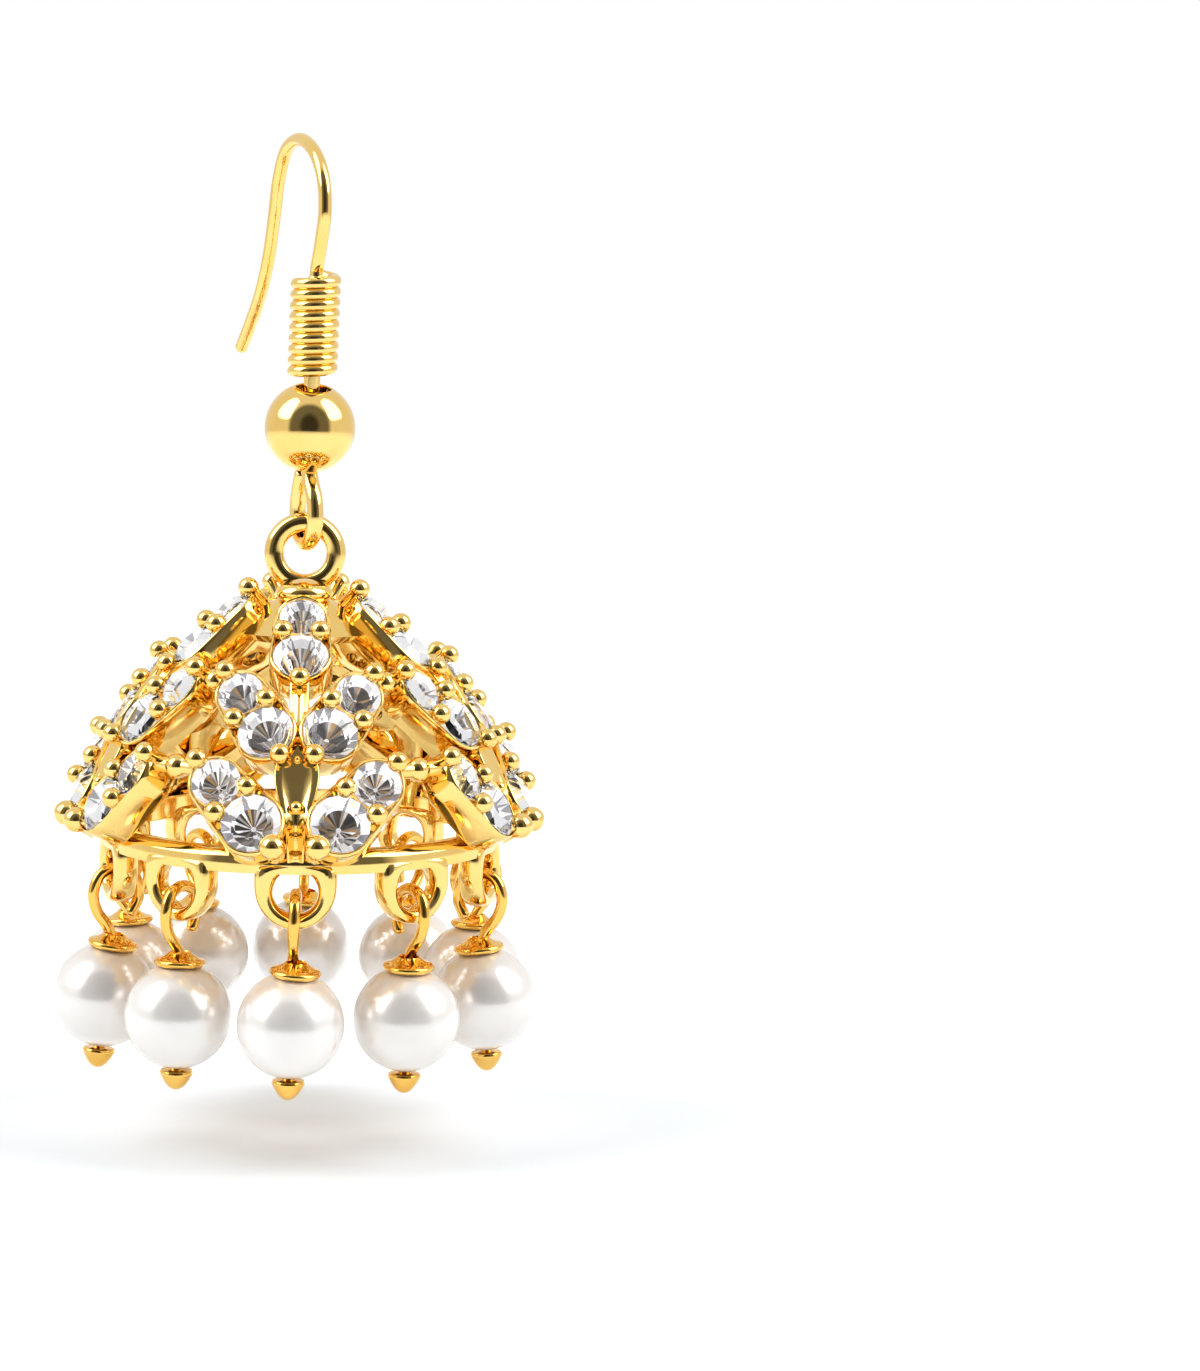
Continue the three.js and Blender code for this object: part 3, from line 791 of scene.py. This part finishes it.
def spine(column):
    """The grooved bar behind a column, with small granules down its middle."""
    rows = []
    for out, up, wide, shoulder in SPINE:
        narrow = wide * SPINE_WIDTH / 2
        rows.append((narrow + (shoulder_half - narrow) * shoulder, out * RIM_RADIUS, up * BELL_HEIGHT))
    path = spline(rows, 6)
    rings = []
    for half, outer, height in path:
        rings.append([(x, -outer - y, height) for x, y in grooved_bar(half)])
    first_rooms = list(top_rooms())[:2]
    body = cut_away(loft(np.array(rings[::-1])), first_rooms)
    granules = []
    for share, size in GRANULES:
        outer, height = path[round(share * (len(path) - 1))][1:]
        ball = lathe(ball_profile(size / 2, 10), GRANULE_SIDES)
        granules.append(shifted(ball, 0, SPINE_GROOVE * GRANULE_SINK - outer, height))
    return moved(merged([body, *granules]), turn_about("Z", 360 / COLUMNS * column))


def tie(start, end):
    """A bar between two columns, with a knob in its middle."""
    half = (end - start).length / 2
    knob = TIE_KNOB / 2
    thin = TIE / 2
    profile = [(0, -half), (thin, -half), (thin, -knob)] + arc((0, 0), knob, -50, 50, 8)
    profile += [(thin, knob), (thin, half), (0, half)]
    turn = Vector((0, 0, 1)).rotation_difference(end - start).to_matrix().to_4x4()
    turn.translation = (start + end) / 2
    return moved(lathe(profile, TIE_SIDES), turn)


def ties():
    """The bars from the tips of one column's petals to those of the next."""
    for row in PETALS[1:]:
        tip = Vector((0, petal_end(row, 1)[3] - TIE / 2, -TIE / 2))
        for column in range(COLUMNS):
            yield tie(petal_frame(row, 1, column) @ tip,
                      petal_frame(row, -1, column + 1) @ tip)


def crown():
    """The low dome that joins the columns at the top."""
    top = BELL_HEIGHT - COLLAR_HEIGHT / 4
    bend = top - CROWN_RADIUS / 8
    edge = top - CROWN_RADIUS / 2
    outer = spline([(0, top), (CROWN_RADIUS / 2, bend), (CROWN_RADIUS, edge)], 8)
    inner = spline([(CROWN_RADIUS - CROWN_WALL, edge - CROWN_WALL / 2),
                    (CROWN_RADIUS / 2, bend - CROWN_WALL), (0, top - CROWN_WALL)], 8)
    profile = np.vstack([outer, inner])[::-1]
    return cut_away(lathe(profile, CROWN_SIDES), list(top_rooms()))


def collar():
    """The flattened ball between the crown and the ring."""
    profile = ball_profile(COLLAR_RADIUS, 24, COLLAR_HEIGHT / 2 / COLLAR_RADIUS)
    turned = lathe(profile, COLLAR_SIDES)
    return shifted(turned, 0, -COLLAR_FORWARD, BELL_HEIGHT - COLLAR_SINK)


def ring():
    """The ring on top: round outside, with a flatter bevel into its hole."""
    middle = (RING_OUTER + RING_HOLE) / 4
    half = (RING_OUTER - RING_HOLE) / 4
    section = []
    for a in np.radians(np.arange(0, 360, 15)):
        power = RING_BEVEL if math.cos(a) < 0 else RING_ROUND
        x, y = (math.copysign(abs(turn) ** power, turn) for turn in (math.cos(a), math.sin(a)))
        section.append((middle + half * x, half * y))
    turned = lathe(section, RING_SIDES, closed=True)
    return shifted(moved(turned, turn_about("X", 90)), 0, 0, ring_height)


def rim():
    """The band at the foot of the bell, chamfered at its top and softened at its edges."""
    inner = RIM_RADIUS - RIM_WALL
    bevel = RIM_RADIUS - RIM_CHAMFER
    soft = 0.1
    profile = [
        (inner + soft, 0), (RIM_RADIUS - soft, 0), (RIM_RADIUS - 0.03, 0.03), (RIM_RADIUS, soft),
        (RIM_RADIUS, RIM_HEIGHT - RIM_CHAMFER), (RIM_RADIUS - 0.06, RIM_HEIGHT - RIM_CHAMFER + 0.1),
        (bevel, RIM_HEIGHT - 0.03), (bevel - 0.08, RIM_HEIGHT),
        (inner + soft, RIM_HEIGHT), (inner, RIM_HEIGHT - soft), (inner, soft),
    ]
    return lathe(profile, RIM_SIDES, closed=True)


def cast_loop(index):
    """A loop under the rim: an arched plate round its hole, with rounded edges."""
    low = LOOP_DROP - RIM_HEIGHT / 2
    half_width = LOOP_WIDTH / 2
    rings = []
    for angle in np.radians(np.arange(0, 360, 7.5)):
        x, z = math.cos(angle), math.sin(angle)
        reach = outline_reach(x, z, half_width, low)
        inside = LOOP_HOLE / 2
        ring_points = []
        for a in np.radians(np.arange(0, 360, 22.5)):
            u, v = math.cos(a), math.sin(a)
            radial = (inside + reach) / 2 + (reach - inside) / 2 * math.copysign(abs(u) ** LOOP_ROUND, u)
            depth = LOOP_THICKNESS / 2 * math.copysign(abs(v) ** LOOP_ROUND, v)
            ring_points.append((radial * x, -loop_pitch + depth, loop_hole_height + radial * z))
        rings.append(np.array(ring_points))
    return moved(loft(rings, closed=True), turn_about("Z", 360 / LOOPS * index))


def outline_reach(x, z, half_width, low):
    """How far the loop's outline lies from the middle of its hole in this direction."""
    shoulder = -RIM_HEIGHT / 2 - loop_hole_height
    roof = RIM_HEIGHT / 2 - loop_hole_height
    if z > 0:
        side = half_width / max(abs(x), 1e-6)
        if side * z >= shoulder:
            return (side**-LOOP_CORNER + (roof / z) ** -LOOP_CORNER) ** (-1 / LOOP_CORNER)
    # The lower half is an ellipse about the shoulder
    a = (x / half_width) ** 2 + (z / low) ** 2
    b = -2 * shoulder * z / low**2
    c = (shoulder / low) ** 2 - 1
    return (-b + math.sqrt(b * b - 4 * a * c)) / (2 * a)


# Pearl drops, each with the middle of its pearl at the origin

def drilled_ball(diameter, bore, sides, lip):
    """A ball with a bore through it, its mouths softened by a lip."""
    radius = diameter / 2
    start = math.degrees(math.acos((bore / 2 + lip) / radius))
    outside = arc((0, 0), radius, -start, start, BALL_STEPS)
    mouth = outside[-1][1]
    inside = [(bore / 2 + lip * 0.3, mouth - lip * 0.1), (bore / 2, mouth - lip), (bore / 2, 0)]
    return lathe(outside + inside + [(x, -y) for x, y in inside[1::-1]], sides, closed=True)


def cap():
    """A low wide dish with a thick rolled lip, lying on the pearl."""
    seat = PEARL / 2 + SEAT_GAP
    edge = CAP / 2 - CAP_LIP
    bore = CAP_BORE / 2
    under = math.sqrt(seat * seat - edge * edge)
    roll = under + CAP_LIP * 0.8
    low = roll + CAP_LIP
    mouth = bore + 0.08
    shoulder = cap_top - 0.06
    profile = arc((edge, roll), CAP_LIP, -95, 90, 12)
    for share in (0.25, 0.5, 0.75):
        rise = share**1.4 * (shoulder - low)
        profile.append((edge + (mouth - edge) * share, low + rise))
    profile += [(mouth, shoulder), (bore + 0.03, cap_top - 0.01), (bore, cap_top - 0.08)]
    profile += [(bore, math.sqrt(seat * seat - bore * bore))]
    profile += arc((0, 0), seat, 74, 68, 2)
    return lathe(profile, CAP_SIDES, closed=True)


def pin():
    """A head pin: a finial under the pearl, a shank through it and an eye above."""
    foot = -PEARL / 2 - SEAT_GAP
    wire_top = eye_top - cap_top
    eye = spline(plane_points(EYE_CURVE, EYE_WIDTH - PIN_WIRE, wire_top, cap_top), 10)
    shank = [(0, 0, foot - FINIAL_ROOT), (0, 0, 0), (0, 0, eye[0][2])]
    half = FINIAL / 2
    finial = [(0, foot - FINIAL_HEIGHT)]
    for share in np.linspace(0.06, 1, 16):
        wide = math.sin(share * math.pi / 2)
        bullet = (FINIAL_HEIGHT - FINIAL_BAND) * (1 - wide**FINIAL_POWER)
        finial.append((half * wide, foot - FINIAL_BAND - bullet))
    finial += [(half, foot - 0.12), (half - 0.04, foot - 0.03), (half - 0.12, foot), (0, foot)]
    wires = [sweep(path, PIN_WIRE / 2, PIN_SIDES) for path in (eye, shank)]
    return merged([*wires, lathe(finial, FINIAL_SIDES)])


def drop_place(index):
    """Where a drop hangs in its loop, turned and leaning."""
    side, inward = DROPS[index][:2]
    around = turn_about("Z", 360 / LOOPS * index - 90)
    hung = Matrix.Translation((loop_pitch, 0, band_top + PIN_WIRE + SEAT_GAP))
    leaning = turn_about("X", side) @ turn_about("Y", inward)
    return around @ hung @ leaning @ Matrix.Translation((0, 0, PIN_WIRE / 2 - eye_top))


# Hook, coil and ball bead, in the plane of the hook, with the foot of its loop at the origin

def hook_wire():
    """The shank with its loop, and the thinner ear wire with the splice that joins them."""
    foot = spline(plane_points(FOOT_CURVE, EYE_LOOP_WIDTH, EYE_LOOP_HEIGHT, 0), 12)
    ear = spline(plane_points(HOOK_CURVE, HOOK_REACH, HOOK_RISE, coil_top), 14)
    shank = [foot[-1], (0, 0, ball_height), (0, 0, coil_foot), ear[0] - (0, 0, SHANK_WIRE / 2)]
    splice = [shank[-1] - (0, 0, SHANK_WIRE), ear[0]]
    wires = ((foot, SHANK_WIRE), (shank, SHANK_WIRE), (splice, HOOK_WIRE), (ear, HOOK_WIRE))
    return merged([sweep(path, wire / 2, HOOK_SIDES) for path, wire in wires])


def coil():
    share = np.linspace(0, 1, COIL_TURNS * COIL_STEPS + 1)
    angle = math.radians(COIL_START) + 2 * math.pi * COIL_TURNS * share
    radius = (COIL_OUTER - COIL_WIRE) / 2
    height = coil_foot + COIL_WIRE / 2 + share * (COIL_TURNS - 1) * COIL_PITCH
    path = np.column_stack([radius * np.cos(angle), radius * np.sin(angle), height])
    return sweep(path, COIL_WIRE / 2, COIL_SIDES)


# Assembly

metal, stones, foils = petals_and_stones()
# Painted reflection tones for every face of every foil
chance = np.random.default_rng(REFLECTION_SEED)
tones = [tone for _ in foils for tone in foil_reflection_tones(chance)]
metal += [rim(), crown(), collar(), ring(), *ties()]
metal += [spine(column) for column in range(COLUMNS)]
metal += [cast_loop(index) for index in range(LOOPS)]
as_object("bell_casting", merged(metal), gold, "bell", ["jhumka_bell"])
as_object("bell_stones", merged(stones), crystal, "bell", ["jhumka_bell"], smooth_below=0)
# The foils behind the stones carry painted reflections and a painted glow
as_object("foils_with_painted_reflections", merged(foils), foil_with_painted_light, "bell", ["jhumka_bell"],
          smooth_below=0, tones=tones)

in_hook = Matrix.Translation((0, 0, link_height)) @ turn_about("Z", HOOK_TURN)
in_tilt = in_hook @ turn_about("Y", HOOK_TILT)
bead_place = in_tilt @ Matrix.Translation((0, 0, ball_height)) @ turn_about("Y", BALL_TILT)
bead = moved(drilled_ball(BALL, BALL_BORE, BALL_SIDES, BALL_MOUTH), bead_place)
as_object("ear_hook_wire", moved(hook_wire(), in_tilt), gold, "hook", ["ear_hook"])
as_object("coil_turns", moved(coil(), in_tilt), gold, "hook", ["wire_coil"])
as_object("ball_bead", bead, gold, "hook", ["hook_bead"])

for index in range(LOOPS):
    number = index + 1
    place = drop_place(index)
    cap_tilt = turn_about("X", DROPS[index][2]) @ turn_about("Y", DROPS[index][3])
    ball = moved(drilled_ball(PEARL, PEARL_BORE, PEARL_SIDES, PEARL_MOUTH), place)
    as_object(f"drop_pearl_{number}", ball, pearl, "bell", [f"pearl_{number}"])
    lid = moved(cap(), place @ cap_tilt)
    as_object(f"drop_cap_{number}", lid, deep_gold, "bell", [f"bead_cap_{number}"])
    wire = moved(pin(), place)
    as_object(f"drop_pin_{number}", wire, deep_gold, "bell", [f"head_pin_{number}"])

# Floor: a pale disc under the drops that fades out towards its edge

FLOOR_RADIUS = 420
FLOOR_GAP = 4.6
FADE_START = 0.35
FADE_END = 0.95


def floor_material():
    material, tree, shader, place = new_material("pale_floor")
    tone = tinted(tree, noise(tree, place, 60), (0.9, 0.94, 0.98), (0.91, 0.95, 0.985))
    tree.links.new(tone, shader.inputs["Base Color"])
    shader.inputs["Roughness"].default_value = 0.8
    shader.inputs["Specular IOR Level"].default_value = 0.1
    distance = tree.nodes.new("ShaderNodeVectorMath")
    distance.operation = "LENGTH"
    tree.links.new(place, distance.inputs[0])
    span = (FLOOR_RADIUS * FADE_START * MM, FLOOR_RADIUS * FADE_END * MM)
    fade = ranged(tree, distance.outputs["Value"], 1, 0, span)
    tree.links.new(fade, shader.inputs["Alpha"])
    return material


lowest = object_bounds()[0].z / MM
disc_profile = [(FLOOR_RADIUS, 0), (FLOOR_RADIUS / 2, 0), (0, 0)]
disc_vertices, disc_faces = lathe(disc_profile, FLOOR_SIDES)
floor_data = bpy.data.meshes.new("floor")
floor_data.from_pydata((disc_vertices * MM).tolist(), [], disc_faces)
floor_data.materials.append(floor_material())
floor = bpy.data.objects.new("floor", floor_data)
bpy.context.scene.collection.objects.link(floor)
floor.location = (0, 0, (lowest - FLOOR_GAP) * MM)
floor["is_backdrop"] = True

# Studio light: a white surround with a dark opening in front, a darker core in it, and two large
# soft windows; the camera sees a plain background

SURROUND = 0.85
OPENING = 0.16
CORE = 0.04
WINDOW = 4.6
BACKGROUND = 1

# Their azimuth and elevation, half width and half height in degrees, squareness, and softness
OPENING_SHAPE = (0, 8, 54, 56, 2.6, 0.25)
CORE_SHAPE = (0, 8, 24, 30, 2, 0.5)
WINDOW_SHAPES = [(-78, 42, 24, 24, 4, 0.3), (78, 42, 24, 24, 4, 0.3)]


def studio_world():
    world = bpy.data.worlds.new("studio")
    bpy.context.scene.world = world
    world.use_nodes = True
    tree = world.node_tree
    background = tree.nodes["Background"]
    place = tree.nodes.new("ShaderNodeTexCoord").outputs["Generated"]
    split = tree.nodes.new("ShaderNodeSeparateXYZ")
    tree.links.new(place, split.inputs[0])

    def calc(operation, *values):
        node = tree.nodes.new("ShaderNodeMath")
        node.operation = operation
        for socket, value in zip(node.inputs, values):
            if isinstance(value, (int, float)):
                socket.default_value = value
            else:
                tree.links.new(value, socket)
        return node.outputs[0]

    def offset(angles, middle, half):
        away = calc("SUBTRACT", angles, math.radians(middle))
        return calc("DIVIDE", away, math.radians(half))

    def window(azimuth, elevation, wide, high, power, soft):
        """1 inside a rounded window of this shape and 0 outside it."""
        sides = (offset(azimuths, azimuth, wide), offset(elevations, elevation, high))
        terms = [calc("POWER", calc("ABSOLUTE", side), power) for side in sides]
        return ranged(tree, calc("ADD", *terms), 1, 0, (1 - soft, 1 + soft))

    azimuths = calc("ARCTAN2", split.outputs["X"], calc("MULTIPLY", split.outputs["Y"], -1))
    elevations = calc("ARCSINE", split.outputs["Z"])
    opening = window(*OPENING_SHAPE)
    core = window(*CORE_SHAPE)
    windows = calc("ADD", *(window(*shape) for shape in WINDOW_SHAPES))
    level = calc("ADD", SURROUND, calc("MULTIPLY", opening, OPENING - SURROUND))
    level = calc("ADD", level, calc("MULTIPLY", core, CORE - OPENING))
    level = calc("ADD", level, calc("MULTIPLY", windows, WINDOW - SURROUND))
    seen = tree.nodes.new("ShaderNodeLightPath").outputs["Is Camera Ray"]
    shown = calc("ADD", level, calc("MULTIPLY", seen, calc("SUBTRACT", BACKGROUND, level)))
    tree.links.new(shown, background.inputs["Strength"])
    background.inputs["Color"].default_value = (1, 1, 1, 1)


studio_world()

# Camera

def photo_camera():
    """Turns the camera so that the middle of the rim falls on its pixel, then rolls it."""
    azimuth, elevation = math.radians(CAMERA_AZIMUTH), math.radians(CAMERA_ELEVATION)
    back = Vector((math.sin(azimuth) * math.cos(elevation), -math.cos(azimuth) * math.cos(elevation),
                   math.sin(elevation)))
    sight = -back
    across = (RIM_PIXEL[0] - PHOTO_WIDTH / 2) / FOCAL_PIXELS
    upward = (PHOTO_HEIGHT / 2 - RIM_PIXEL[1]) / FOCAL_PIXELS
    depth = 1 / math.sqrt(1 + across**2 + upward**2)
    flat = math.hypot(sight.x, sight.y)
    heading = math.atan2(sight.y, sight.x) - math.acos(across * depth / flat)
    right = Vector((math.cos(heading), math.sin(heading), 0))
    ahead = Vector((-right.y, right.x, 0))
    pitch = math.atan2(sight.z, sight.dot(ahead)) - math.atan2(upward * depth, depth)
    forward = ahead * math.cos(pitch) + Vector((0, 0, 1)) * math.sin(pitch)
    up = right.cross(forward)
    turn = Matrix((right, up, -forward)).transposed()
    turn = Matrix.Rotation(math.radians(-CAMERA_ROLL), 3, sight) @ turn
    data = bpy.data.cameras.new("camera")
    data.sensor_width = SENSOR
    data.lens = FOCAL_PIXELS / PHOTO_HEIGHT * SENSOR
    data.clip_start = CLIP_START * MM
    data.clip_end = CLIP_END * MM
    camera = bpy.data.objects.new("camera", data)
    bpy.context.scene.collection.objects.link(camera)
    rim_middle = to_row.translation
    stand = Matrix.Translation((rim_middle + back * CAMERA_DISTANCE) * MM)
    camera.matrix_world = stand @ turn.to_4x4()
    bpy.context.scene.camera = camera


photo_camera()
bpy.context.scene.view_settings.view_transform = "Standard"

visual_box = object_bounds()
boxes = {"cad": cad_box, "visual": visual_box}
{name: [list(corner) for corner in box] for name, box in boxes.items()}
